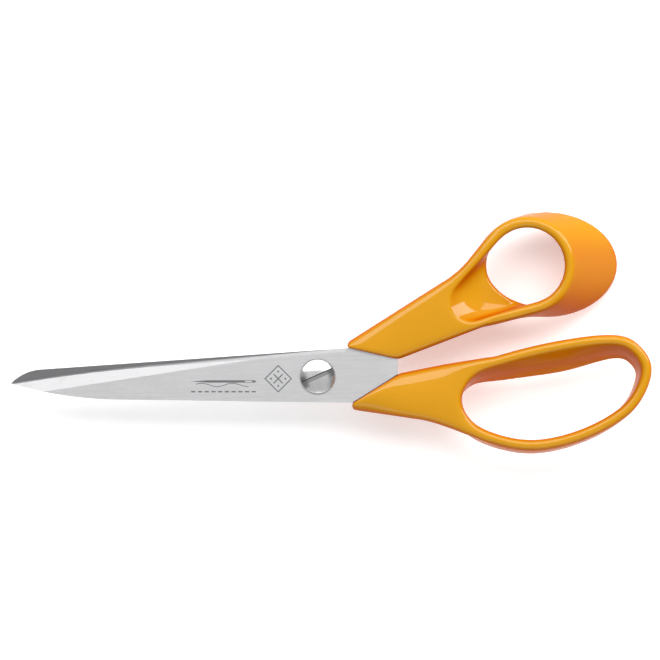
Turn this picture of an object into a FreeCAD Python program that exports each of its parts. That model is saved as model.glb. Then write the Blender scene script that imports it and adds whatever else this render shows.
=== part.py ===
"""Fabric shears: two ground blades crossing on a slotted pivot screw, with a moulded handle on each tang.

The frame's origin is on the pivot axis, level with the outer flat of the thumb blade.
+X runs from the tips to the handles, +Y from the finger loop to the thumb loop, and +Z out of the
thumb blade's outer flat. All lengths are in millimetres and all angles in degrees.
"""
import FreeCAD, Part
import math
import os

import Sketcher
from FreeCAD import Placement, Rotation, Vector

SHEET = "Dimensions"

# Driving dimensions: alias, value, what it is.
SCALARS = [
    ("blade_thick", 2.4, "stock thickness of each blade"),
    ("blade_gap", 0.06, "air between the two inner faces"),
    ("tang_relief", 0.15, "how far a tang is set back from its blade's outer flat"),
    ("tang_end", 5.0, "radius of a tang's rounded end"),
    ("rivet_hole", 2.1, "radius of the holes that key the plastic to a tang"),
    ("spine_radius", 138.0, "thumb blade's spine as it runs out to the tip"),
    ("edge_radius", 604.0, "gentle belly of each cutting edge"),
    ("nose_radius", 15.0, "drop nose of the finger blade"),
    ("facet_angle", 21.0, "slope of the long ground facet"),
    ("facet_line", 8.73, "distance from the pivot axis to the facet's inner line"),
    ("thumb_facet_turn", 8.72, "angle of the thumb blade's facet line in plan"),
    ("finger_facet_turn", 6.16, "angle of the finger blade's facet line in plan"),
    ("grind_angle", 24.0, "cutting bevel, from the vertical"),
    ("wheel_radius", 42.0, "wheel radius of the hollow grind on an inner face"),
    ("hollow_depth", 0.15, "depth of the hollow grind"),
    ("hollow_start", -17.0, "where the hollow grind starts, past the ride"),
    ("hollow_length", 58.0, "length of the hollow grind"),
    ("thumb_axis_turn", 1.3, "angle of the line from the pivot to the thumb blade's tip"),
    ("finger_axis_turn", -1.25, "the same for the finger blade, seen from its own outer face"),
    ("pivot_bore", 3.65, "radius of the thumb blade's bore, a running fit on the screw's shoulder"),
    ("seat_radius", 6.0, "spot face under the washer and under the nut"),
    ("seat_depth", 0.3, "depth of both spot faces"),
    ("shoulder_radius", 3.6, "pivot screw's shoulder"),
    ("thread_radius", 2.5, "pivot screw's thread, and the bore that it is cut in"),
    ("thread_reach", 7.0, "depth of the thread's end below the outer flat"),
    ("thread_lead", 0.4, "chamfer on the thread's end"),
    ("head_radius", 5.55, "pivot screw's head"),
    ("head_rim", 0.8, "height of the head's rim over the washer"),
    ("head_dome", 1.0, "rise of the head's dome over its rim"),
    ("head_break", 0.2, "broken edge of the head's rim"),
    ("slot_width", 1.4, "screwdriver slot"),
    ("slot_depth", 1.1, "depth of the slot below the dome's crown"),
    ("slot_turn", 24.5, "angle of the slot in plan"),
    ("washer_radius", 5.8, "outer radius of the friction washer"),
    ("washer_thick", 0.5, "thickness of the friction washer"),
    ("washer_lift", 0.03, "air between the washer and the thumb blade"),
    ("nut_flats", 8.0, "across the flats of the lock nut"),
    ("nut_height", 2.1, "height of the lock nut"),
    ("nut_break", 0.35, "chamfer round the lock nut's corners"),
    ("handle_near", 2.3, "near surface of the handles above the outer flat"),
    ("handle_depth", 9.5, "thickness of a handle's neck"),
    ("neck_round", 2.4, "rounding along the necks"),
    ("thumb_wall", 3.7, "wall of the thumb loop"),
    ("finger_wall", 3.7, "wall of the finger loop"),
    ("throat_radius", 14.1, "near rim of the thumb loop, round its throat"),
    ("scoop_radius", 8.2, "near rim of the thumb loop, round the scoop in front of the throat"),
    ("flare_long", 21.8, "half length of the thumb loop's far rim"),
    ("flare_wide", 15.6, "half width of the thumb loop's far rim"),
    ("flare_drop", 20.9, "depth of the far rim below the near surface at its outer end"),
    ("bar_drop", 12.8, "depth of the finger loop's upper bar"),
    ("bow_drop", 10.8, "depth of the finger loop's lower bow"),
]

# Plan points: name, x, y. The finger blade's are as seen from its own outer face, so +Y is its cutting edge too.
POINTS = [
    ("thumb_tip", -100.8, -2.3),
    ("thumb_spine", -62.0, -7.6),
    ("thumb_heel", 11.2, -8.6),
    ("thumb_corner", 26.3, 0.9),
    ("thumb_butt", 26.3, 5.9),
    ("thumb_tang_a", 23.6, 7.3),
    ("thumb_tang_b", 35.7, 13.35),
    ("thumb_tang_c", 31.7, 21.4),
    ("thumb_tang_d", 15.0, 13.0),
    ("thumb_front", 10.2, 9.4),
    ("thumb_belly", -50.0, 4.2),
    ("thumb_rivet_a", 22.5, 12.0),
    ("thumb_rivet_b", 31.5, 16.4),
    ("thumb_step_a", 27.5, 5.03),
    ("thumb_step_b", 44.0, 12.0),
    ("thumb_step_c", 38.0, 30.0),
    ("thumb_step_d", 8.4, 14.0),
    ("thumb_step_e", 8.4, 9.46),
    ("finger_tip", -100.5, 2.2),
    ("finger_nose", -91.0, -2.3),
    ("finger_spine", 0.8, -8.7),
    ("finger_heel", 9.5, -9.28),
    ("finger_butt", 26.3, -5.38),
    ("finger_corner", 26.3, -0.4),
    ("finger_tang_a", 24.6, 1.2),
    ("finger_tang_b", 35.0, 1.2),
    ("finger_tang_c", 35.0, 10.2),
    ("finger_tang_d", 16.5, 10.2),
    ("finger_front", 12.0, 8.6),
    ("finger_belly", -50.0, 6.5),
    ("finger_rivet_a", 24.0, 5.7),
    ("finger_rivet_b", 33.5, 5.7),
    ("finger_step_a", 27.98, -2.07),
    ("finger_step_b", 42.0, -2.07),
    ("finger_step_c", 42.0, 14.0),
    ("finger_step_d", 9.4, 14.0),
    ("finger_step_e", 9.4, 9.62),
    ("thumb_neck_a", 26.5, 5.58),
    ("thumb_neck_b", 40.0, 10.9),
    ("thumb_neck_c", 56.0, 17.1),
    ("thumb_neck_d", 62.0, 30.0),
    ("thumb_neck_e", 55.2, 43.6),
    ("thumb_neck_f", 49.6, 37.4),
    ("thumb_neck_g", 42.6, 31.5),
    ("thumb_neck_h", 9.8, 11.3),
    ("thumb_neck_i", 9.6, 9.5),
    ("finger_neck_a", 11.4, -10.9),
    ("finger_neck_b", 34.0, -14.2),
    ("finger_neck_c", 52.0, -20.4),
    ("finger_neck_d", 56.0, -10.0),
    ("finger_neck_e", 56.0, 3.4),
    ("finger_neck_f", 51.0, 5.3),
    ("finger_neck_g", 26.6, 1.6),
    ("finger_neck_h", 26.45, 0.75),
    ("finger_neck_i", 11.25, -8.8),
    ("throat", 68.5, 36.4),
    ("scoop", 49.5, 25.0),
    ("flare", 75.5, 36.8),
]

# Middle line of the finger loop's wall at its near and its far rim, anticlockwise from the outer end.
FINGER_NEAR = [
    (107.6, 1.2), (104.4, 8.8), (96.8, 12.0), (80.0, 10.2), (62.0, 6.0), (50.2, 1.4),
    (45.4, -8.0), (51.6, -17.6), (68.5, -22.4), (86.0, -19.2), (101.5, -10.4),
]
FINGER_FAR = [
    (106.3, -1.0), (104.2, 5.2), (97.4, 7.6), (80.0, 3.2), (62.0, 0.6), (50.2, -1.4),
    (45.0, -8.4), (51.6, -18.7), (68.5, -23.7), (86.0, -20.4), (100.6, -11.8),
]

NECK_CORNERS = "abcdefghi"
REACH = 30  # half size of a grinding tool, more than any blade's width
FLARE_START = 20.0  # angle on the far rim's ellipse of the station at the throat's outer end
THUMB_STATIONS = 28
STATIONS_PER_SPAN = 3  # between two points of the finger loop's rims
PASSAGE_END = 0.5  # length of the straight end of a loop's passage
CAP_STEPS = 4  # points round half of a wall section's rounded rim, less one
TOUCH = 1e-4  # distance below which a point counts as lying on a face


# ---------------------------------------------------------------- the sheet and its sizes


class Size:
    """A dimension: its value, and the expression that keeps it driven by the sheet."""

    def __init__(self, value, text=None):
        self.value = float(value)
        self.text = text or f"{float(value)}"

    @staticmethod
    def of(other):
        return other if isinstance(other, Size) else Size(other)

    def __add__(self, other):
        other = Size.of(other)
        return Size(self.value + other.value, f"({self.text} + {other.text})")

    def __sub__(self, other):
        other = Size.of(other)
        return Size(self.value - other.value, f"({self.text} - {other.text})")

    def __mul__(self, other):
        other = Size.of(other)
        return Size(self.value * other.value, f"({self.text} * {other.text})")

    def __truediv__(self, other):
        other = Size.of(other)
        return Size(self.value / other.value, f"({self.text} / {other.text})")

    def __neg__(self):
        return self * -1


def tangent(angle):
    return Size(math.tan(math.radians(angle.value)), f"tan({angle.text} * 1 deg)")


class Sheet:
    """The spreadsheet. sheet.alias is a cell's Size, and sheet.point(name) a plan point's pair of Sizes."""

    def __init__(self, doc):
        self.cells = doc.addObject("Spreadsheet::Sheet", SHEET)
        rows = list(SCALARS)
        for name, x, y in POINTS:
            rows += [(f"{name}_x", x, "plan point"), (f"{name}_y", y, "plan point")]
        for loop, points in (("finger_near", FINGER_NEAR), ("finger_far", FINGER_FAR)):
            for k, (x, y) in enumerate(points):
                rows += [(f"{loop}_{k}_x", x, "rim point"), (f"{loop}_{k}_y", y, "rim point")]
        for line, (alias, value, note) in enumerate(rows, start=1):
            self.cells.set(f"A{line}", note)
            self.cells.set(f"B{line}", str(value))
            self.cells.setAlias(f"B{line}", alias)
        doc.recompute()

    def __getattr__(self, alias):
        return Size(getattr(self.cells, alias), f"{SHEET}.{alias}")

    def point(self, name):
        return getattr(self, name + "_x"), getattr(self, name + "_y")

    def points(self, names):
        return [self.point(name) for name in names]

    def rim(self, loop, count):
        """A rim's points, as vectors in plan."""
        return [Vector(*(size.value for size in self.point(f"{loop}_{k}")), 0) for k in range(count)]


# ---------------------------------------------------------------- sketches and features


def new_sketch(body, name, plane="XY_Plane", lift=None, turn=None):
    """An empty sketch on an origin plane of the body, lifted along its normal and turned about its vertical axis."""
    sketch = body.newObject("Sketcher::SketchObject", f"{body.Name}_{name}")
    support = [feature for feature in body.Origin.OriginFeatures if feature.Role == plane][0]
    sketch.AttachmentSupport = [(support, "")]
    sketch.MapMode = "FlatFace"
    lift = Size.of(lift or 0)
    turn = Size.of(turn or 0)
    sketch.AttachmentOffset = Placement(Vector(0, 0, lift.value), Rotation(Vector(0, 1, 0), turn.value))
    sketch.setExpression("AttachmentOffset.Base.z", lift.text)
    if turn.value:
        sketch.setExpression("AttachmentOffset.Rotation.Angle", turn.text)
    return sketch


def constrain(sketch, size, *what):
    """Adds a dimensional constraint and binds it to its size."""
    k = sketch.addConstraint(Sketcher.Constraint(*what, size.value))
    sketch.setExpression(f"Constraints[{k}]", size.text)


def pin(sketch, geometry, vertex, x, y):
    """Fixes a vertex of the sketch at x and y from its origin."""
    constrain(sketch, Size.of(x), "DistanceX", -1, 1, geometry, vertex)
    constrain(sketch, Size.of(y), "DistanceY", -1, 1, geometry, vertex)


def arc_between(start, end, radius):
    """The shorter arc from start to end, anticlockwise."""
    chord = end - start
    rise = math.sqrt(radius**2 - (chord.Length / 2) ** 2)
    centre = (start + end) / 2 + Vector(-chord.y, chord.x, 0) * (rise / chord.Length)
    first, last = (math.atan2(p.y - centre.y, p.x - centre.x) for p in (start, end))
    if last < first:
        last += 2 * math.pi
    return Part.ArcOfCircle(Part.Circle(centre, Vector(0, 0, 1), radius), first, last)


def draw_loop(sketch, corners, arcs=None):
    """A closed anticlockwise outline. arcs gives the radius of the side that starts at a corner."""
    arcs = arcs or {}
    corners = [(Size.of(x), Size.of(y)) for x, y in corners]
    places = [Vector(x.value, y.value, 0) for x, y in corners]
    count = len(corners)
    for k, place in enumerate(places):
        following = places[(k + 1) % count]
        if k in arcs:
            sketch.addGeometry(arc_between(place, following, arcs[k].value))
        else:
            sketch.addGeometry(Part.LineSegment(place, following))
    for k, (x, y) in enumerate(corners):
        sketch.addConstraint(Sketcher.Constraint("Coincident", k, 2, (k + 1) % count, 1))
        pin(sketch, k, 1, x, y)
        if k in arcs:
            constrain(sketch, arcs[k], "Radius", k)
    return sketch


def draw_circle(sketch, x, y, radius):
    x, y = Size.of(x), Size.of(y)
    k = sketch.addGeometry(Part.Circle(Vector(x.value, y.value, 0), Vector(0, 0, 1), radius.value))
    pin(sketch, k, 3, x, y)
    constrain(sketch, radius, "Radius", k)
    return sketch


def pad(body, name, sketch, length):
    feature = body.newObject("PartDesign::Pad", f"{body.Name}_{name}")
    feature.Profile = sketch
    feature.setExpression("Length", length.text)
    body.Document.recompute()
    return feature


def removed(body, before, feature):
    """Makes sure that a feature took material away: one that misses the solid shows no error."""
    body.Document.recompute()
    if not feature.Shape.Volume < before - TOUCH:
        raise ValueError(f"{feature.Label} cuts nothing")
    return feature


def pocket(body, name, sketch, length=None):
    """Cuts against the sketch's normal, or through everything both ways if no length is given."""
    before = body.Shape.Volume
    feature = body.newObject("PartDesign::Pocket", f"{body.Name}_{name}")
    feature.Profile = sketch
    if length is None:
        feature.Type = "ThroughAll"
        feature.SideType = "Symmetric"
    else:
        feature.setExpression("Length", length.text)
    return removed(body, before, feature)


def revolve(body, kind, name, sketch):
    """A Revolution or a Groove, all the way round the sketch's vertical axis."""
    before = body.Shape.Volume if kind == "Groove" else 0
    feature = body.newObject(f"PartDesign::{kind}", f"{body.Name}_{name}")
    feature.Profile = sketch
    feature.ReferenceAxis = (sketch, ["V_Axis"])
    feature.Angle = 360
    if kind == "Groove":
        return removed(body, before, feature)
    body.Document.recompute()
    return feature


def faces_through(feature, points):
    """Names of the feature's faces that the points lie on."""
    names = []
    for k, face in enumerate(feature.Shape.Faces, start=1):
        if any(face.distToShape(Part.Vertex(point))[0] < TOUCH for point in points):
            names.append(f"Face{k}")
    return names


def edges_between(feature, pairs, levels):
    """Names of the feature's straight edges that join a pair of plan points, at any of the levels."""
    names = []
    for k, edge in enumerate(feature.Shape.Edges, start=1):
        ends = [vertex.Point for vertex in edge.Vertexes]
        for a, b in pairs:
            for level in levels:
                a3, b3 = Vector(a.x, a.y, level), Vector(b.x, b.y, level)
                if all(min(end.distanceToPoint(a3), end.distanceToPoint(b3)) < TOUCH for end in ends):
                    names.append(f"Edge{k}")
    return names


# ---------------------------------------------------------------- blades


def add_blade(doc, sheet, side, outline, arcs, bore):
    """One blade, made with its inner face on the XY plane, its outer flat up and its cutting edge towards +Y."""
    body = doc.addObject("PartDesign::Body", f"{side}_blade")
    corners = sheet.points([f"{side}_{name}" for name in outline])
    radii = {outline.index(name): radius for name, radius in arcs.items()}
    sketch = draw_loop(new_sketch(body, "outline"), corners, radii)
    thick = sheet.blade_thick
    blank = pad(body, "blank", sketch, thick)
    grind_cutting_edge(body, sheet, blank, sketch, outline)
    grind_facet(body, sheet, side)
    grind_hollow(body, sheet, side)

    pocket(body, "bore", draw_circle(new_sketch(body, "bore_sketch"), 0, 0, bore))
    seat = draw_circle(new_sketch(body, "seat_sketch", lift=thick), 0, 0, sheet.seat_radius)
    pocket(body, "seat", seat, sheet.seat_depth)
    for hole in "ab":
        x, y = sheet.point(f"{side}_rivet_{hole}")
        sketch = draw_circle(new_sketch(body, f"rivet_{hole}_sketch"), x, y, sheet.rivet_hole)
        pocket(body, f"rivet_{hole}", sketch)
    step = draw_loop(new_sketch(body, "step_sketch", lift=thick), sheet.points([f"{side}_step_{c}" for c in "abcde"]))
    pocket(body, "tang_step", step, sheet.tang_relief)
    return body


def grind_cutting_edge(body, sheet, blank, sketch, outline):
    """Tilts the blank's side walls along the cutting edge, so that its inner face meets them at an acute edge."""
    start = outline.index("front")
    half = sheet.blade_thick.value / 2
    middles = []
    for side in (start, start + 1):
        curve = sketch.Geometry[side]
        middle = curve.value((curve.FirstParameter + curve.LastParameter) / 2)
        middles.append(Vector(middle.x, middle.y, half))
    bevel = body.newObject("PartDesign::Draft", f"{body.Name}_bevel")
    bevel.Base = (blank, faces_through(blank, middles))
    bevel.NeutralPlane = ([f for f in body.Origin.OriginFeatures if f.Role == "XY_Plane"][0], [""])
    bevel.setExpression("Angle", sheet.grind_angle.text)
    before = blank.Shape.Volume
    body.Document.recompute()
    if bevel.Shape.Volume > before:
        bevel.Reversed = True
    return removed(body, before, bevel)


def grind_facet(body, sheet, side):
    """The long planar facet that thins the blade towards its cutting edge and towards the tip."""
    sketch = new_sketch(body, "facet_sketch", "YZ_Plane", turn=getattr(sheet, f"{side}_facet_turn"))
    line, top = sheet.facet_line, sheet.blade_thick
    fall = tangent(sheet.facet_angle) * REACH
    draw_loop(sketch, [(line, top), (line + REACH, top - fall), (line + REACH, top + 1), (line, top + 1)])
    return pocket(body, "facet", sketch)


def grind_hollow(body, sheet, side):
    """The shallow hollow along the middle of the inner face, between the ride and the tip."""
    turn = getattr(sheet, f"{side}_axis_turn")
    sketch = new_sketch(body, "hollow_sketch", "YZ_Plane", sheet.hollow_start, turn)
    draw_circle(sketch, 0, sheet.hollow_depth - sheet.wheel_radius, sheet.wheel_radius)
    return pocket(body, "hollow", sketch, sheet.hollow_length)


def add_thumb_blade(doc, sheet):
    """The near blade, whose outer flat is the frame's datum."""
    outline = ["tip", "spine", "heel", "corner", "butt", "tang_a", "tang_b", "tang_c", "tang_d", "front", "belly"]
    arcs = {"tip": sheet.spine_radius, "tang_b": sheet.tang_end, "belly": sheet.edge_radius}
    body = add_blade(doc, sheet, "thumb", outline, arcs, sheet.pivot_bore)
    body.setExpression("Placement.Base.z", (-sheet.blade_thick).text)
    return body


def add_finger_blade(doc, sheet):
    """The far blade, turned over, so that the two inner faces look at each other across the gap."""
    outline = ["tip", "nose", "spine", "heel", "butt", "corner", "tang_a", "tang_b", "tang_c", "tang_d",
               "front", "belly"]
    arcs = {"tip": sheet.nose_radius, "tang_b": sheet.tang_end, "belly": sheet.edge_radius}
    body = add_blade(doc, sheet, "finger", outline, arcs, sheet.thread_radius)
    body.Placement = Placement(Vector(0, 0, 0), Rotation(Vector(1, 0, 0), 180))
    body.setExpression("Placement.Base.z", (-(sheet.blade_thick + sheet.blade_gap)).text)
    return body


# ---------------------------------------------------------------- pivot


def add_pivot_screw(doc, sheet):
    """Slotted screw: a domed head, a shoulder that the thumb blade turns on, and a thread in the finger blade."""
    body = doc.addObject("PartDesign::Body", "pivot_screw")
    under = sheet.washer_lift + sheet.washer_thick - sheet.seat_depth
    rim = under + sheet.head_rim
    crown = rim + sheet.head_dome
    ride = -(sheet.blade_thick + sheet.blade_gap)
    end = -sheet.thread_reach
    inner = sheet.head_radius - sheet.head_break
    dome_radius = (inner * inner + sheet.head_dome * sheet.head_dome) / (sheet.head_dome * 2)
    profile = [
        (0, end),
        (sheet.thread_radius - sheet.thread_lead, end),
        (sheet.thread_radius, end + sheet.thread_lead),
        (sheet.thread_radius, ride),
        (sheet.shoulder_radius, ride),
        (sheet.shoulder_radius, under),
        (sheet.head_radius, under),
        (sheet.head_radius, rim - sheet.head_break),
        (inner, rim),
        (0, crown),
    ]
    sketch = draw_loop(new_sketch(body, "profile", "XZ_Plane"), profile, {8: dome_radius})
    revolve(body, "Revolution", "turning", sketch)

    slot = new_sketch(body, "slot_sketch", "YZ_Plane", turn=sheet.slot_turn)
    half = sheet.slot_width / 2
    floor = crown - sheet.slot_depth
    draw_loop(slot, [(-half, floor), (half, floor), (half, crown + 1), (-half, crown + 1)])
    pocket(body, "slot", slot)
    return body


def add_pivot_washer(doc, sheet):
    """Flat friction washer between the screw's head and the thumb blade's spot face."""
    body = doc.addObject("PartDesign::Body", "pivot_washer")
    bottom = sheet.washer_lift - sheet.seat_depth
    ring = draw_circle(new_sketch(body, "ring", lift=bottom), 0, 0, sheet.washer_radius)
    draw_circle(ring, 0, 0, sheet.pivot_bore)
    pad(body, "blank", ring, sheet.washer_thick)
    return body


def add_lock_nut(doc, sheet):
    """Low hexagon nut that locks the screw behind the finger blade."""
    body = doc.addObject("PartDesign::Body", "lock_nut")
    seat = -(sheet.blade_thick * 2 + sheet.blade_gap - sheet.seat_depth)
    low = seat - sheet.nut_height
    half = sheet.nut_flats / 2
    corner = half / (3**0.5 / 2)
    hexagon = [
        (corner, 0), (corner / 2, half), (-corner / 2, half),
        (-corner, 0), (-corner / 2, -half), (corner / 2, -half),
    ]
    pad(body, "blank", draw_loop(new_sketch(body, "hexagon", lift=low), hexagon), sheet.nut_height)
    pocket(body, "bore", draw_circle(new_sketch(body, "bore_sketch"), 0, 0, sheet.thread_radius))
    start = corner - sheet.nut_break
    triangle = [(start, low), (corner + 1, low), (corner + 1, low + sheet.nut_break + 1)]
    revolve(body, "Groove", "chamfer", draw_loop(new_sketch(body, "chamfer_sketch", "XZ_Plane"), triangle))
    return body


# ---------------------------------------------------------------- handles


def thumb_rims(sheet):
    """Middle lines of the thumb loop's wall at its near and far rim, station by station.

    The near rim is a taut band round two circles, the throat and the smaller scoop in front of it.
    The far rim is an ellipse that drops away towards the outer end of the handle.
    """
    throat, scoop, flare = (
        Vector(*(size.value for size in sheet.point(name)), 0) for name in ("throat", "scoop", "flare")
    )
    big, small = sheet.throat_radius.value, sheet.scoop_radius.value
    axis = scoop - throat
    heading = math.atan2(axis.y, axis.x)
    lean = math.acos((big - small) / axis.Length)
    straight = math.sqrt(axis.Length**2 - (big - small) ** 2)
    big_arc, small_arc = big * (2 * math.pi - 2 * lean), small * 2 * lean
    lengths = [big_arc / 2, straight, small_arc, straight, big_arc / 2]
    total = sum(lengths)

    def near_at(run):
        """Point of the taut band at a run along it, anticlockwise from the throat's outer end."""
        for piece, length in enumerate(lengths):
            if run <= length:
                break
            run -= length
        if piece in (0, 4):
            angle = heading - math.pi + (run / big if piece == 0 else (run - length) / big)
            return throat + Vector(math.cos(angle), math.sin(angle), 0) * big
        if piece == 2:
            angle = heading - lean + run / small
            return scoop + Vector(math.cos(angle), math.sin(angle), 0) * small
        angle = heading - lean if piece == 1 else heading + lean
        foot = Vector(math.cos(angle), math.sin(angle), 0)
        leave, arrive = throat + foot * big, scoop + foot * small
        if piece == 3:
            leave, arrive = arrive, leave
        return leave + (arrive - leave) * (run / length)

    half = sheet.thumb_wall.value / 2
    top = sheet.handle_near.value
    shallow, deep = sheet.handle_depth.value, sheet.flare_drop.value
    near, far = [], []
    for k in range(THUMB_STATIONS):
        share = k / THUMB_STATIONS
        rim = near_at(share * total)
        near.append(Vector(rim.x, rim.y, top - half))
        angle = math.radians(FLARE_START) + 2 * math.pi * share
        across = Vector(sheet.flare_long.value * math.cos(angle), sheet.flare_wide.value * math.sin(angle), 0)
        depth = shallow + (deep - shallow) * (1 + math.cos(angle)) / 2
        far.append(flare + across + Vector(0, 0, top + half - depth))
    return near, far


def finger_rims(sheet):
    """The same for the finger loop, whose rims are smooth curves through their few points."""
    count = len(FINGER_NEAR)
    half = sheet.finger_wall.value / 2
    top = sheet.handle_near.value
    rims = []
    for loop in ("finger_near", "finger_far"):
        curve = Part.BSplineCurve()
        points = sheet.rim(loop, count)
        curve.interpolate(Points=points, PeriodicFlag=True, Parameters=[float(k) for k in range(count + 1)])
        rims.append([curve.value(k / STATIONS_PER_SPAN) for k in range(count * STATIONS_PER_SPAN)])
    near, far = rims
    lowest = min(point.y for point in far)
    height = max(point.y for point in far) - lowest
    bow, bar = sheet.bow_drop.value, sheet.bar_drop.value
    for k, point in enumerate(far):
        near[k].z = top - half
        point.z = top + half - bow - (bar - bow) * (point.y - lowest) / height
    return near, far


def closed_curve(points):
    curve = Part.BSplineCurve()
    curve.interpolate(Points=points, PeriodicFlag=True)
    return Part.Wire([curve.toShape()])


def wall_section(near, far, along, half):
    """Closed cross-section of a loop's wall: a slat between two rounded rims, square to the loop.

    It starts half way down the inside, so that the sections line up when they are lofted.
    """
    down = (far - near).normalize()
    across = down.cross(along).normalize()
    points = []
    for centre, out in ((far, 1), (near, -1)):
        points.append((near + far) / 2 - across * (out * half))
        for step in range(CAP_STEPS + 1):
            angle = math.pi * step / CAP_STEPS
            points.append(centre + (across * (-out * math.cos(angle)) + down * (out * math.sin(angle))) * half)
    return closed_curve(points)


def add_wall(doc, name, near, far, thickness):
    """The wall of a finger loop, lofted round its stations."""
    count = len(near)
    sections = []
    for k in range(count):
        along = near[(k + 1) % count] - near[k - 1] + far[(k + 1) % count] - far[k - 1]
        sections.append(wall_section(near[k], far[k], along, thickness.value / 2))
    wall = doc.addObject("Part::Feature", name)
    wall.Shape = Part.makeLoft(sections, True, False, True)
    wall.Placement = Placement()
    return wall


def add_passage(doc, name, near, far, sheet):
    """The space inside the wall's middle surface, and straight on past both faces of the neck."""
    above = sheet.handle_near.value + 1
    below = sheet.handle_near.value - sheet.handle_depth.value - 1
    sections = [[], [], [], []]
    for n, f in zip(near, far):
        level = max(f.z, below + PASSAGE_END)
        sill = n + (f - n) * ((level - n.z) / (f.z - n.z))
        for section, point in zip(sections, (Vector(n.x, n.y, above), n, sill, Vector(sill.x, sill.y, below))):
            section.append(point)
    passage = doc.addObject("Part::Feature", name)
    passage.Shape = Part.makeLoft([closed_curve(section) for section in sections], True, True)
    passage.Placement = Placement()
    return passage


def add_neck(doc, sheet, side, rounded):
    """The solid neck that is moulded over the tang. rounded names the corners at each end of its rounded sides."""
    body = doc.addObject("PartDesign::Body", f"{side}_neck")
    corners = sheet.points([f"{side}_neck_{c}" for c in NECK_CORNERS])
    far = sheet.handle_near - sheet.handle_depth
    sketch = draw_loop(new_sketch(body, "outline", lift=far), corners)
    blank = pad(body, "blank", sketch, sheet.handle_depth)
    places = {c: Vector(x.value, y.value, 0) for c, (x, y) in zip(NECK_CORNERS, corners)}
    pairs = [(places[a], places[b]) for a, b in rounded]
    levels = (far.value, sheet.handle_near.value)
    fillet = body.newObject("PartDesign::Fillet", f"{side}_neck_round")
    fillet.Base = (blank, edges_between(blank, pairs, levels))
    fillet.setExpression("Radius", sheet.neck_round.text)
    doc.recompute()
    return body


def add_handle(doc, sheet, side, rims, thickness, rounded, blade):
    """A moulded handle: neck and loop in one, less the room of the blade's tang."""
    near, far = rims
    neck = add_neck(doc, sheet, side, rounded)
    wall = add_wall(doc, f"{side}_wall", near, far, thickness)
    passage = add_passage(doc, f"{side}_passage", near, far, sheet)
    opened = boolean(doc, "Cut", f"{side}_neck_opened", neck, passage)
    outer = boolean(doc, "Fuse", f"{side}_handle_outer", opened, wall)
    return boolean(doc, "Cut", f"{side}_handle", outer, blade)


def boolean(doc, kind, name, base, tool):
    result = doc.addObject(f"Part::{kind}", name)
    result.Base = base
    result.Tool = tool
    doc.recompute()
    return result


# ---------------------------------------------------------------- the whole


def check(doc, parts):
    """Stops before anything is written if an object failed or a sub-part is not one valid solid."""
    for item in doc.Objects:
        if {"Invalid", "Error"} & set(item.State):
            raise ValueError(f"{item.Label} failed: {item.State}")
    for part in parts:
        if part.Shape.isNull() or not part.Shape.isValid() or len(part.Shape.Solids) != 1:
            raise ValueError(f"{part.Label} is not one valid solid")


def main():
    doc = FreeCAD.newDocument("FabricShears")
    sheet = Sheet(doc)
    thumb_blade = add_thumb_blade(doc, sheet)
    finger_blade = add_finger_blade(doc, sheet)
    thumb_sides = ("ab", "bc", "ef", "fg", "gh")
    finger_sides = ("ab", "bc", "ef", "fg")
    parts = [
        thumb_blade,
        finger_blade,
        add_handle(doc, sheet, "thumb", thumb_rims(sheet), sheet.thumb_wall, thumb_sides, thumb_blade),
        add_handle(doc, sheet, "finger", finger_rims(sheet), sheet.finger_wall, finger_sides, finger_blade),
        add_pivot_screw(doc, sheet),
        add_pivot_washer(doc, sheet),
        add_lock_nut(doc, sheet),
    ]
    doc.recompute()
    check(doc, parts)
    os.makedirs("parts", exist_ok=True)
    for part in parts:
        part.Shape.exportStep(f"parts/{part.Label}.step")
        box = part.Shape.BoundBox
        print(part.Label, round(part.Shape.Volume, 1), [round(v, 2) for v in (
            box.XMin, box.YMin, box.ZMin, box.XMax, box.YMax, box.ZMax)])


main()
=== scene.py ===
import math

import bmesh
import bpy
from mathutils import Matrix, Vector


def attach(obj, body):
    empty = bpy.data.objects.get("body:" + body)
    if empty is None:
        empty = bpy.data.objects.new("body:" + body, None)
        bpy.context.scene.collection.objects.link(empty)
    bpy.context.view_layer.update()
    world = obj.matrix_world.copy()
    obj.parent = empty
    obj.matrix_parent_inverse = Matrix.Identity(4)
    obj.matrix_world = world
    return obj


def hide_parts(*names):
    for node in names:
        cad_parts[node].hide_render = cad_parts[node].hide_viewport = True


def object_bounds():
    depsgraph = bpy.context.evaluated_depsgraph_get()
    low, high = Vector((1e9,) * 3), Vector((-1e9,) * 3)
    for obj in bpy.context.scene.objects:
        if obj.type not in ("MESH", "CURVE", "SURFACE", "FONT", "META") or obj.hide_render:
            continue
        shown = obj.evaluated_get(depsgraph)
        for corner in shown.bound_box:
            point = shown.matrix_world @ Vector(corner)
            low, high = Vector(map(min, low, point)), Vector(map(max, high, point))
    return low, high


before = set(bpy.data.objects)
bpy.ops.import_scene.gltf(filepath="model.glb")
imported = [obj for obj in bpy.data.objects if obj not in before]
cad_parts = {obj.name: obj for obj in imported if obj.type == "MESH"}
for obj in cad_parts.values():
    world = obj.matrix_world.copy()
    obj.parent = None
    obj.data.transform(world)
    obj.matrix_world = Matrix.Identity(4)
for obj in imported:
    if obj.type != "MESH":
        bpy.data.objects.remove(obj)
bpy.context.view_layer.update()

MM = 0.001

# The handles' sizes and places, in millimetres from the pivot's axis.
NEAR = 2.3  # the necks' near face
NECK_FAR = -7.2  # the necks' far face
NECK_ROUND = 1.75  # radius along the necks' sides
WALL = 3.7  # thickness of the loops' walls
FINE = 0.42  # cell of the grid that makes neck and loop one skin
STATIONS = 220  # places round a loop at which its wall is drawn

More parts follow.
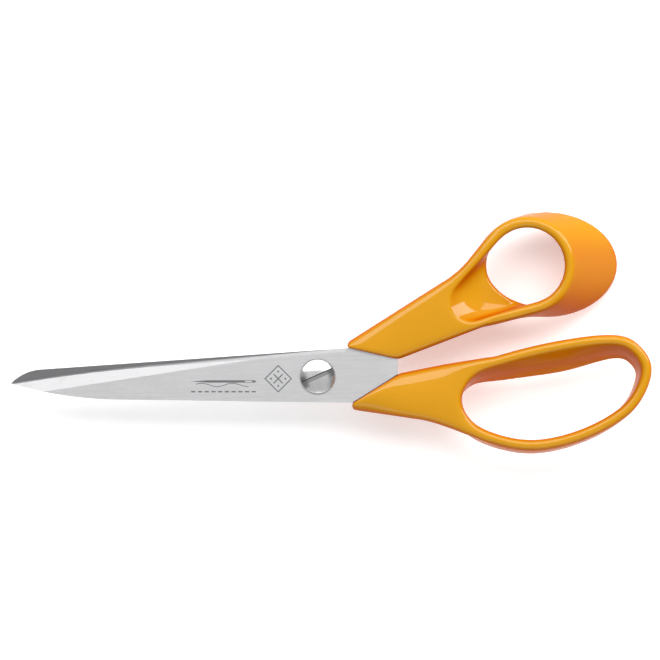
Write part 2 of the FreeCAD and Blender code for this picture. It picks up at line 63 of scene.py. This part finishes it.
# The thumb loop's near rim is taut round the throat and the scoop. Its far rim flares outward.
THROAT, THROAT_RADIUS = (68.5, 36.4), 14.1
SCOOP, SCOOP_RADIUS = (50.2, 24.7), 7.8
SCOOP_SAG = 1.3
FLARE, FLARE_LONG, FLARE_WIDE = (75.5, 36.8), 21.8, 15.6
FLARE_DROP, FLARE_LEAST_DROP = 20.9, 9.5
EYE = (70.0, 36.6)

# The finger loop's wall goes through these places, anticlockwise from its outer end.
FINGER_NEAR = [
    (107.6, 1.2), (104.4, 8.8), (96.8, 12.0), (80.0, 10.2), (62.0, 6.0), (50.2, 1.4),
    (45.4, -8.0), (51.6, -17.6), (68.5, -22.4), (86.0, -19.2), (101.5, -10.4),
]
FINGER_FAR = [
    (106.3, -1.0), (104.2, 5.2), (97.4, 7.6), (80.0, 3.2), (62.0, 0.6), (50.2, -1.4),
    (45.0, -8.4), (51.6, -18.7), (68.5, -23.7), (86.0, -20.4), (100.6, -11.8),
]
BAR_DROP, BOW_DROP = 12.8, 10.8  # depth of the loop at its upper bar and at its lower bow


# ------------------------------------------------------------------ moulding the handles


def mesh_object(name, vertices, faces):
    """A new object from millimetres, with its faces turned outward."""
    mesh = bpy.data.meshes.new(name)
    mesh.from_pydata([tuple(c * MM for c in v) for v in vertices], [], faces)
    made = bmesh.new()
    made.from_mesh(mesh)
    bmesh.ops.recalc_face_normals(made, faces=made.faces)
    made.to_mesh(mesh)
    made.free()
    thing = bpy.data.objects.new(name, mesh)
    bpy.context.scene.collection.objects.link(thing)
    return thing


def settled(thing):
    """The object with its modifiers worked into its mesh."""
    bpy.context.view_layer.update()
    graph = bpy.context.evaluated_depsgraph_get()
    mesh = bpy.data.meshes.new_from_object(thing.evaluated_get(graph))
    thing.modifiers.clear()
    thing.data = mesh
    return thing


def eased(share):
    """From 0 to 1 with a soft start and a soft stop."""
    share = min(max(share, 0.0), 1.0)
    return share * share * (3 - 2 * share)


def bend(start, pull, end, steps=4):
    """A round bend from start to end, drawn towards pull."""
    a, b, c = Vector(start), Vector(pull), Vector(end)
    shares = [step / steps for step in range(steps + 1)]
    return [tuple(a.lerp(b, share).lerp(b.lerp(c, share), share)) for share in shares]


def thumb_neck():
    """The thumb neck's outline. Its last place and the two beside it are the corners at the blade."""
    underside = [(26.5, 5.6), (56.5, 17.1)]
    in_the_loop = [(60.0, 20.0), (62.0, 30.0), (57.0, 44.0)]
    shoulder = bend((53.0, 42.5), (46.8, 33.9), (39.5, 30.1))
    return [*underside, *in_the_loop, *shoulder, (9.8, 11.3), (9.6, 9.5)]


def finger_neck():
    """The finger neck's outline, with its last places as the thumb neck's."""
    belly = bend((34.0, -14.2), (38.3, -14.8), (50.0, -19.5))
    in_the_loop = [(56.0, -21.9), (60.0, -20.0), (56.0, -10.0), (56.0, 3.4), (58.0, 5.0), (57.0, 6.5)]
    return [(11.4, -10.9), *belly, *in_the_loop, (42.0, 4.1), (27.1, 1.16), (11.25, -8.8)]


def smooth_loop(points, steps):
    """A closed smooth curve through the points, with so many steps between two of them."""
    count = len(points)
    curve = []
    for k in range(count):
        a, b, c, d = (Vector(points[(k + n) % count]) for n in (-1, 0, 1, 2))
        speed, turn, twist = c - a, 2 * a - 5 * b + 4 * c - d, 3 * b - a - 3 * c + d
        for step in range(steps):
            t = step / steps
            curve.append(0.5 * (2 * b + speed * t + turn * t**2 + twist * t**3))
    return curve


def evened(curve, count):
    """The closed curve again, as so many points at even spacing."""
    runs = [0.0]
    for k, point in enumerate(curve):
        runs.append(runs[-1] + (curve[(k + 1) % len(curve)] - point).length)
    points, k = [], 0
    for n in range(count):
        run = runs[-1] * n / count
        while runs[k + 1] < run:
            k += 1
        share = (run - runs[k]) / (runs[k + 1] - runs[k])
        points.append(curve[k].lerp(curve[(k + 1) % len(curve)], share))
    return points


def band_round(centre, radius, other, other_radius, count):
    """A taut band round two circles, as points at even spacing."""
    middle, far = Vector(centre), Vector(other)
    axis = far - middle
    heading = math.atan2(axis.y, axis.x)
    lean = math.acos((radius - other_radius) / axis.length)
    arcs = [
        (middle, radius, heading + lean, 2 * math.pi - 2 * lean),
        (far, other_radius, heading - lean, 2 * lean),
    ]
    curve, last = [], 239
    for hub, reach, start, sweep in arcs:
        for k in range(last + 1):
            angle = start + sweep * k / last
            curve.append(hub + Vector((math.cos(angle), math.sin(angle))) * reach)
    return evened(curve, count)


def thumb_rims(count):
    """Middle lines of the thumb loop's wall at its near and far rim."""
    near, far = [], []
    for point in band_round(THROAT, THROAT_RADIUS, SCOOP, SCOOP_RADIUS, count):
        toward = point - Vector(EYE)
        angle = math.atan2(toward.y / FLARE_WIDE, toward.x / FLARE_LONG)
        depth = FLARE_LEAST_DROP + (FLARE_DROP - FLARE_LEAST_DROP) * (1 + math.cos(angle)) / 2
        near.append(Vector((point.x, point.y, NEAR - WALL / 2)))
        far.append(
            Vector((
                FLARE[0] + FLARE_LONG * math.cos(angle),
                FLARE[1] + FLARE_WIDE * math.sin(angle),
                NEAR + WALL / 2 - depth,
            ))
        )
    return near, far


def finger_rims(count):
    """Middle lines of the finger loop's wall at its near and far rim."""
    steps = max(4, count // len(FINGER_NEAR))
    near, far = smooth_loop(FINGER_NEAR, steps), smooth_loop(FINGER_FAR, steps)
    lowest = min(point.y for point in far)
    height = max(point.y for point in far) - lowest
    for k, point in enumerate(far):
        depth = BOW_DROP + (BAR_DROP - BOW_DROP) * (point.y - lowest) / height
        near[k] = Vector((near[k].x, near[k].y, NEAR - WALL / 2))
        far[k] = Vector((point.x, point.y, NEAR + WALL / 2 - depth))
    return near, far


def loop_wall(name, near, far, dish):
    """A loop's wall: a slat between two rounded rims, carried round the loop.

    dish says how far the slat sags outward half way down, at a place on the near rim.
    """
    count, half, cap, slats = len(near), WALL / 2, 10, 8
    vertices = []
    for k in range(count):
        down = (far[k] - near[k]).normalized()
        along = near[(k + 1) % count] - near[k - 1] + far[(k + 1) % count] - far[k - 1]
        across = down.cross(along).normalized()
        sag = dish(near[k])
        for start, end, out in ((near[k], far[k], 1), (far[k], near[k], -1)):
            for step in range(1, slats):
                share = step / slats
                low = start.lerp(end, share) + across * (4 * share * (1 - share) * sag)
                vertices.append(low - across * (out * half))
            for step in range(cap + 1):
                angle = math.pi * step / cap
                round_off = across * (-math.cos(angle)) + down * math.sin(angle)
                vertices.append(end + round_off * (out * half))
    size = 2 * (cap + slats)
    faces = []
    for k in range(count):
        this, following = k * size, (k + 1) % count * size
        for n in range(size):
            m = (n + 1) % size
            faces.append((this + n, this + m, following + m, following + n))
    return mesh_object(name, vertices, faces)


def passage(name, near, far):
    """The space inside the wall's middle surface, carried on past both faces of the neck."""
    count, past = len(near), 3.0
    rows = [[], [], [], []]
    for n, f in zip(near, far):
        level = max(f.z, NECK_FAR - 0.5)
        sill = n + (f - n) * ((level - n.z) / (f.z - n.z))
        above, below = Vector((n.x, n.y, NEAR + past)), Vector((sill.x, sill.y, NECK_FAR - past))
        for row, point in zip(rows, (above, n, sill, below)):
            row.append(point)
    vertices = [point for row in rows for point in row]
    faces = [tuple(range(count)), tuple(range(4 * count - 1, 3 * count - 1, -1))]
    for r in range(3):
        for k in range(count):
            m = (k + 1) % count
            faces.append((r * count + k, (r + 1) * count + k, (r + 1) * count + m, r * count + m))
    return mesh_object(name, vertices, faces)


def neck(name, corners):
    """The neck moulded over the tang. Its sides are rounded, but for the two sharp ones at the blade."""
    count = len(corners)
    vertices = [(x, y, z) for z in (NECK_FAR, NEAR) for x, y in corners]
    faces = [tuple(range(count)), tuple(range(count, 2 * count))]
    for k in range(count):
        m = (k + 1) % count
        faces.append((k, m, count + m, count + k))
    thing = mesh_object(name, vertices, faces)
    tip = Vector(corners[-1])
    sharp = [(tip + Vector(beside)) / 2 for beside in (corners[-2], corners[0])]
    shape = bmesh.new()
    shape.from_mesh(thing.data)
    rounded = []
    for edge in shape.edges:
        a, b = (corner.co / MM for corner in edge.verts)
        middle = (a + b) / 2
        upright = abs(a.z - b.z) > 1
        if not upright and all((middle.xy - place).length > 0.5 for place in sharp):
            rounded.append(edge)
    bmesh.ops.bevel(
        shape, geom=rounded, offset=NECK_ROUND * MM, offset_type="OFFSET", segments=8, profile=0.5,
        affect="EDGES", clamp_overlap=False,
    )
    shape.to_mesh(thing.data)
    shape.free()
    return thing


def crowned(thing, start, end, half_widths, fall, deeper):
    """Lets the neck's near and far faces fall away softly to both sides of its middle line.

    The line runs from start, at the blade, to end, at the loop, with the neck's half width at each, and
    fall is the drop at the sides. Towards the loop the far face also drops, by deeper.
    """
    fade_past, fade_length, skin_depth = 6.0, 14.0, 3.0
    a, b = Vector(start), Vector(end)
    axis = (b - a).normalized()
    length = (b - a).length
    middle = (NEAR + NECK_FAR) / 2
    for vertex in thing.data.vertices:
        spot = vertex.co / MM
        run = (spot.xy - a).dot(axis)
        share = min(max(run / length, 0.0), 1.0)
        side = abs((spot.x - a.x) * axis.y - (spot.y - a.y) * axis.x)
        width = half_widths[0] + (half_widths[1] - half_widths[0]) * share
        drop = fall * min(side / width, 1.25) ** 2 * eased((length + fade_past - run) / fade_length)
        if spot.z > middle:
            vertex.co.z -= drop * MM * min((spot.z - middle) / skin_depth, 1.0)
        elif spot.z > NECK_FAR - 1.0:
            vertex.co.z += (drop - deeper * eased(share)) * MM * min((middle - spot.z) / skin_depth, 1.0)


def moulded_handle(name, rims, corners, crown, dish):
    """Neck and loop as one moulding, with soft fillets where they meet."""
    near, far = rims
    wall = loop_wall(f"{name}_wall", near, far, dish)
    grip = neck(name, corners)
    space = passage(f"{name}_space", near, far)
    cut = grip.modifiers.new("opening", "BOOLEAN")
    cut.operation = "DIFFERENCE"
    cut.solver = "MANIFOLD"
    cut.object = space
    settled(grip)
    both = bmesh.new()
    both.from_mesh(grip.data)
    both.from_mesh(wall.data)
    both.to_mesh(grip.data)
    both.free()
    skin = grip.modifiers.new("one_skin", "REMESH")
    skin.mode = "VOXEL"
    skin.voxel_size = FINE * MM
    skin.use_smooth_shade = True
    settled(grip)
    crowned(grip, *crown)
    ease = grip.modifiers.new("moulded", "SMOOTH")
    ease.factor = 0.5
    ease.iterations = 30
    settled(grip)
    for spare in (wall, space):
        bpy.data.objects.remove(spare)
    for face in grip.data.polygons:
        face.use_smooth = True
    return grip


def scoop_dish(place):
    """The scoop in front of the thumb is dished, and the loop's wall is straight elsewhere."""
    reach = (place.xy - Vector(THROAT)).length
    return SCOOP_SAG * eased((reach - THROAT_RADIUS - 1.0) / 8.0)


def no_dish(place):
    """A wall that is straight all round."""
    return 0.0


thumb_handle = moulded_handle(
    "thumb_loop_handle", thumb_rims(STATIONS), thumb_neck(),
    ((18.0, 9.5), (47.0, 25.0), (6.0, 12.0), 0.9, 0.0), scoop_dish,
)
finger_handle = moulded_handle(
    "finger_loop_handle", finger_rims(STATIONS), finger_neck(),
    ((18.0, -5.5), (48.0, -7.0), (5.0, 12.0), 1.3, 1.4), no_dish,
)
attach(thumb_handle, "thumb_side")
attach(finger_handle, "finger_side")
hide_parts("thumb_handle")
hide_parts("finger_handle")


# ------------------------------------------------------------------ materials

SLOT_LEAN = 24.5  # degrees from x to the screw's slot
FACET_FACING = 0.934  # how far the blades' ground facets face up
BLADE_TONE = (0.72, 0.72, 0.73)
# Painted shade: the steel colour for edges and faces that are made to look shaded.
PAINTED_SHADE_STEEL = (0.10, 0.10, 0.105, 1)


class Value:
    """One output of a node, with sums, products and masks written as plain arithmetic."""

    def __init__(self, paint, socket):
        self.paint = paint
        self.socket = socket

    def math(self, operation, *others):
        return self.paint.node("ShaderNodeMath", {"operation": operation}, [self, *others])

    def __add__(self, other):
        return self.math("ADD", other)

    def __sub__(self, other):
        return self.math("SUBTRACT", other)

    def __mul__(self, other):
        return self.math("MULTIPLY", other)

    def __truediv__(self, other):
        return self.math("DIVIDE", other)

    def __radd__(self, other):
        return self.math("ADD", other)

    def __rmul__(self, other):
        return self.math("MULTIPLY", other)

    def __rsub__(self, other):
        return self.paint.node("ShaderNodeMath", {"operation": "SUBTRACT"}, [other, self])

    def above(self, edge, soft):
        """1 where the value is over edge, 0 under it, with a soft step between."""
        limits = [edge - soft, edge + soft, 0.0, 1.0]
        return self.paint.node("ShaderNodeMapRange", {"interpolation_type": "SMOOTHSTEP"}, [self, *limits])

    def below(self, edge, soft):
        """1 where the value is under edge, 0 over it."""
        return 1.0 - self.above(edge, soft)

    def size(self):
        return self.math("ABSOLUTE")

    def most(self, other):
        return self.math("MAXIMUM", other)

    def least(self, other):
        return self.math("MINIMUM", other)


class Paint:
    """A material and the few ways in which its nodes are made."""

    def __init__(self, name):
        self.material = bpy.data.materials.new(name)
        self.material.use_nodes = True
        self.tree = self.material.node_tree
        self.shader = self.tree.nodes["Principled BSDF"]

    def node(self, kind, settings, inputs, output=0):
        """A node of any kind: its settings first, then a value or a link for each of its sockets."""
        made = self.tree.nodes.new(kind)
        for key, value in settings.items():
            setattr(made, key, value)
        pairs = inputs.items() if isinstance(inputs, dict) else enumerate(inputs)
        for place, value in pairs:
            self.feed(made.inputs[place], value)
        return Value(self, made.outputs[output])

    def feed(self, socket, value):
        if isinstance(value, Value):
            self.tree.links.new(value.socket, socket)
        else:
            socket.default_value = value

    def parts(self, vector):
        """A vector's three numbers."""
        split = self.node("ShaderNodeSeparateXYZ", {}, [vector]).socket.node
        return [Value(self, output) for output in split.outputs]

    def place(self):
        """Position on the object, in millimetres."""
        spot = self.node("ShaderNodeTexCoord", {}, [], "Object")
        return self.node("ShaderNodeVectorMath", {"operation": "SCALE"}, {0: spot, "Scale": 1 / MM})

    def upward(self):
        """How far the surface faces up: 1 is flat on top, 0 upright, -1 underneath."""
        return self.parts(self.node("ShaderNodeNewGeometry", {}, [], "Normal"))[2]

    def vector(self, x, y, z):
        return self.node("ShaderNodeCombineXYZ", {}, [x, y, z])

    def noise(self, spot, scale, detail=3.0, rough=0.5):
        return self.node(
            "ShaderNodeTexNoise", {}, {"Vector": spot, "Scale": scale, "Detail": detail, "Roughness": rough}
        )

    def mix(self, share, low, high):
        """Two colours, mixed by share."""
        return self.node("ShaderNodeMix", {"data_type": "RGBA"}, {0: share, 6: low, 7: high}, 2)

    def blend(self, share, low, high):
        """Two numbers, mixed by share."""
        return self.node("ShaderNodeMix", {"data_type": "FLOAT"}, {0: share, 2: low, 3: high}, 0)

    def bump(self, height, depth):
        """Relief of so many millimetres."""
        bumped = self.node("ShaderNodeBump", {}, {"Strength": 1.0, "Distance": depth * MM, "Height": height})
        self.feed(self.shader.inputs["Normal"], bumped)

    def finish(self, **inputs):
        """Sets the shader's sockets by name and gives the material."""
        for name, value in inputs.items():
            self.feed(self.shader.inputs[name.replace("_", " ")], value)
        return self.material


def plastic_material():
    """Glossy orange plastic: a faint moulding ripple, fine wear, painted shade as a darker, redder tone on
    its steep sides, and a painted highlight that keeps the top of the thumb loop paler.
    """
    paint = Paint("orange_plastic")
    spot = paint.place()
    x, y, z = paint.parts(spot)
    cloud = paint.noise(spot, 0.05, 2.0)
    haze = paint.noise(spot, 0.8, 4.0)
    scuffs = paint.noise(paint.vector(x * 0.35, y * 1.6, z), 1.2, 5.0, 0.6)
    ripple = paint.noise(spot, 0.12, 2.0)
    upward = paint.upward()
    # Painted light: steep sides take a darker red that stands in for shade, and the top of the thumb loop is
    # pulled back to the paler orange as a painted highlight.
    painted_highlight_thumb_top = y.above(46.0, 7.0)
    face = (upward + painted_highlight_thumb_top * 0.42).above(0.68, 0.34)
    gloss = upward.above(0.72, 0.20)
    warm = paint.mix(cloud, (0.55, 0.248, 0.002, 1), (0.58, 0.268, 0.003, 1))
    # Painted shade: the darker red for the steep sides.
    painted_shade_red = (0.53, 0.108, 0.001, 1)
    colour = paint.mix(face, painted_shade_red, warm)
    colour = paint.mix(haze * 0.12, colour, (0.52, 0.20, 0.003, 1))
    worn = scuffs.above(0.66, 0.05)
    rough = 0.20 + haze * 0.08 + worn * 0.10
    paint.bump(ripple + haze * 0.04 + worn * 0.02, 0.08)
    return paint.finish(
        Base_Color=colour,
        Roughness=rough,
        Coat_Weight=0.14 + gloss * 0.86,
        Coat_Roughness=0.05,
        Coat_IOR=1.38,
        IOR=1.06,
    )


def turned(x, y, degrees):
    """A place's distances along and across a line through the pivot, turned so far from x."""
    turn = math.radians(degrees)
    return x * math.cos(turn) + y * math.sin(turn), y * math.cos(turn) - x * math.sin(turn)


def brushed_steel(name, tone, smooth, coarse, lean, *extras):
    """Steel ground in fine lines that lie across lean, with a satin spread and the odd handling mark.

    smooth and coarse are its least and most roughness. Each extra lays its own marks over the steel.
    """
    paint = Paint(name)
    spot = paint.place()
    x, y, z = paint.parts(spot)
    along, across = turned(x, y, lean)
    lines = paint.noise(paint.vector(along * 6.0, across * 0.35, z * 0.35), 1.0, 4.0, 0.6)
    strokes = paint.noise(paint.vector(along * 1.4, across * 0.08, z * 0.1), 1.0, 3.0, 0.5)
    cloud = paint.noise(spot, 0.06, 2.0)
    wear = paint.noise(spot, 0.35, 5.0, 0.65).above(0.62, 0.08)
    grain = lines * 0.6 + strokes * 0.4
    bright = tone + (1,)
    dark = tuple(c * 0.86 for c in tone) + (1,)
    handled = tuple(c * 0.92 for c in tone) + (1,)
    colour = paint.mix(grain.above(0.5, 0.25), dark, bright)
    colour = paint.mix(wear * 0.25, colour, handled)
    rough = paint.blend(grain, smooth, coarse) + cloud * 0.04 + wear * 0.04
    height = grain
    for extra in extras:
        colour, rough, height = extra(paint, x, y, colour, rough, height)
    paint.bump(height, 0.006)
    return paint.finish(Base_Color=colour, Metallic=1.0, Roughness=rough)


def screw_slot(paint, x, y, colour, rough, height):
    """The driver slot: painted shade on its floor, deeper painted shade on one wall, and a painted dark
    reflection at both ends.
    """
    endwise, aside = turned(x, y, SLOT_LEAN)
    # Painted shade on the slot's floor, and deeper painted shade on one of its walls.
    inside = aside.size().below(0.70, 0.03)
    shaded = (aside - 0.56).size().below(0.16, 0.04)
    colour = paint.mix(inside * 0.55, colour, (0.16, 0.16, 0.17, 1))
    colour = paint.mix(shaded * 0.9, colour, (0.02, 0.02, 0.025, 1))
    # Painted dark reflection at both ends of the slot.
    painted_dark_slot_ends = endwise.size().above(3.6, 0.9) * aside.size().below(1.9, 0.5)
    return paint.mix(painted_dark_slot_ends * 0.55, colour, (0.06, 0.06, 0.07, 1)), rough, height


def ground_facet(paint, x, y, colour, rough, height):
    """The facet that leans as the stone left it is coarser and greyer than the flats."""
    facet = (paint.upward() - FACET_FACING).size().below(0.03, 0.01)
    return paint.mix(facet * 0.42, colour, (0.22, 0.22, 0.22, 1)), rough + facet * 0.28, height


def dim_edges(paint, x, y, colour, rough, height):
    """Painted shade: the blade's upright edges are darkened, so they are dimmer than its flats."""
    upright = 1.0 - paint.upward().size().above(0.7, 0.1)
    # Painted shade on the upright edges.
    return paint.mix(upright * 0.40, colour, PAINTED_SHADE_STEEL), rough, height


def dim_inner_face(paint, x, y, colour, rough, height):
    """The far blade's inner face is dimmer, since the near blade keeps the light off it."""
    inner = paint.upward().above(0.975, 0.01)
    return paint.mix(inner * 0.80, colour, PAINTED_SHADE_STEEL), rough, height


def etching(paint, x, y, colour, rough, height):
    """Etched on the blade: a threaded needle, a running stitch under it, and a cross-stitched diamond."""
    soft, line = 0.05, 0.28
    # needle: a long taper to its point, with a slotted eye near its blunt end
    point, blunt, needle_y = -41.7, -19.9, -1.6
    thickness = ((x - point) * 0.07).least((blunt - x) * 0.5).least(0.40)
    aside = (y - needle_y).size()
    shaft = (thickness - aside).above(0.0, soft)
    eye = ((x + 22.6) * 0.16).size().most(aside).below(0.18, 0.04)
    # thread: leaves the eye in a slow wave
    wave = paint.node("ShaderNodeMath", {"operation": "SINE"}, [x * 0.62]) * 0.55 - 2.75
    thread = (y - wave).size().below(0.13, soft) * (x + 31.2).size().below(8.6, soft)
    threaded_needle = (shaft * (1.0 - eye)).most(thread)
    # running stitch: dashes along a straight line
    pitch, seam_y = 2.2, -4.95
    phase = paint.node("ShaderNodeMath", {"operation": "FRACT"}, [x / pitch + 40.0])
    seam = (y - seam_y).size().below(0.24, soft)
    stitches = seam * (phase - 0.5).size().below(0.32, 0.03) * (x + 30.8).size().below(10.9, soft)
    # diamond: a square on its corner, with a cross-stitch and four dots in it
    across, up = (x + 12.9).size(), (y + 0.7).size()
    ring = (across + up - 4.3).size().below(0.26, soft)
    cross = (across - up).size().below(line, soft) * across.below(1.5, soft)
    side_dots = ((across - 2.35).size() + up).below(0.42, soft)
    end_dots = ((up - 2.35).size() + across).below(0.42, soft)
    mark = threaded_needle.most(stitches).most(ring).most(cross).most(side_dots).most(end_dots)
    return paint.mix(mark * 0.85, colour, (0.07, 0.07, 0.075, 1)), rough + mark * 0.25, height - mark * 0.8


def finished(piece, material):
    """Gives a piece its material alone."""
    piece.data.materials.clear()
    piece.data.materials.append(material)


plastic = plastic_material()
finished(thumb_handle, plastic)
finished(finger_handle, plastic)

steels = {
    "thumb_blade": brushed_steel(
        "thumb_blade_steel", BLADE_TONE, 0.24, 0.36, 90.0, ground_facet, dim_edges, etching
    ),
    "finger_blade": brushed_steel(
        "finger_blade_steel", BLADE_TONE, 0.24, 0.36, 90.0, ground_facet, dim_inner_face
    ),
    "pivot_screw": brushed_steel("screw_steel", (0.84, 0.84, 0.84), 0.07, 0.13, SLOT_LEAN, screw_slot),
    # The washer's dark tone is painted shade under the screw's head.
    "pivot_washer": brushed_steel("washer_steel", (0.40, 0.40, 0.41), 0.25, 0.40, 0.0),
    "lock_nut": brushed_steel("nut_steel", (0.70, 0.70, 0.71), 0.20, 0.34, 0.0),
}
for node, steel in steels.items():
    finished(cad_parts[node], steel)


# ------------------------------------------------------------------ the studio


def table_paint(name, colour, rough, glow):
    """Matt white with faint clouds in it, and a faint glow of its own that lightens the shadows."""
    paint = Paint(name)
    shade = paint.noise(paint.place(), 0.01, 2.0)
    low = tuple(c * 0.985 for c in colour) + (1,)
    return paint.finish(
        Base_Color=paint.mix(shade, low, colour + (1,)),
        Roughness=rough,
        Emission_Color=(1.0, 1.0, 1.0, 1.0),
        Emission_Strength=glow,
    )


def soft_light(name, place, width, height, power):
    """A flat lamp that faces the shears."""
    lamp = bpy.data.lights.new(name, "AREA")
    lamp.shape = "RECTANGLE"
    lamp.size = width
    lamp.size_y = height
    lamp.energy = power
    thing = bpy.data.objects.new(name, lamp)
    thing.location = place
    aim = Vector((0.02, 0.01, 0)) - Vector(place)
    thing.rotation_mode = "QUATERNION"
    thing.rotation_quaternion = aim.to_track_quat("-Z", "Y")
    bpy.context.scene.collection.objects.link(thing)


floor_mesh = bpy.data.meshes.new("table_top")
floor_shape = bmesh.new()
bmesh.ops.create_grid(floor_shape, x_segments=4, y_segments=4, size=3.0)
floor_shape.to_mesh(floor_mesh)
floor_shape.free()
floor = bpy.data.objects.new("table_top", floor_mesh)
FLOOR_GAP = 0.0005
floor.location = (0, 0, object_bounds()[0].z - FLOOR_GAP)
bpy.context.scene.collection.objects.link(floor)
floor.data.materials.append(table_paint("white_table", (0.9, 0.9, 0.9), 0.9, 0.32))

bpy.context.scene.view_settings.view_transform = "Standard"


class Room(Paint):
    """The room's own light, as a world instead of a material."""

    def __init__(self, name):
        self.material = bpy.data.worlds.new(name)
        self.material.use_nodes = True
        self.tree = self.material.node_tree
        self.shader = self.tree.nodes["Background"]


room = Room("studio")
bpy.context.scene.world = room.material
across, back, up = room.parts(room.node("ShaderNodeTexCoord", {}, [], "Generated"))
low = 1.0 - up.above(0.45, 0.45)
behind = back.above(0.1, 0.6)
far_aside = across.size().above(0.52, 0.14)
light = 0.56 - low * 0.10 + behind * 0.25 - far_aside * 0.34
room.feed(room.shader.inputs["Color"], (1.0, 1.0, 1.0, 1.0))
room.feed(room.shader.inputs["Strength"], light)

soft_light("upper_softbox", (0.0, 0.62, 0.95), 1.7, 0.62, 13.5)
soft_light("side_softbox", (0.81, 0.50, 0.34), 0.5, 0.35, 4.4)
soft_light("front_fill", (0.1, -1.0, 0.8), 1.2, 0.5, 2.2)

VIEW_DISTANCE = 1.6  # from the camera to the near blade's flat
VIEW_WIDTH = 0.21606  # what the camera sees there from side to side
VIEW_MIDDLE = (0.00406, 0.01525)
SENSOR = 36.0

camera_data = bpy.data.cameras.new("camera")
camera_data.sensor_width = SENSOR
camera_data.clip_start = 0.01
camera_data.clip_end = 20.0
camera_data.lens = SENSOR * VIEW_DISTANCE / VIEW_WIDTH
camera = bpy.data.objects.new("camera", camera_data)
camera.location = (*VIEW_MIDDLE, VIEW_DISTANCE)
bpy.context.scene.collection.objects.link(camera)
bpy.context.scene.camera = camera
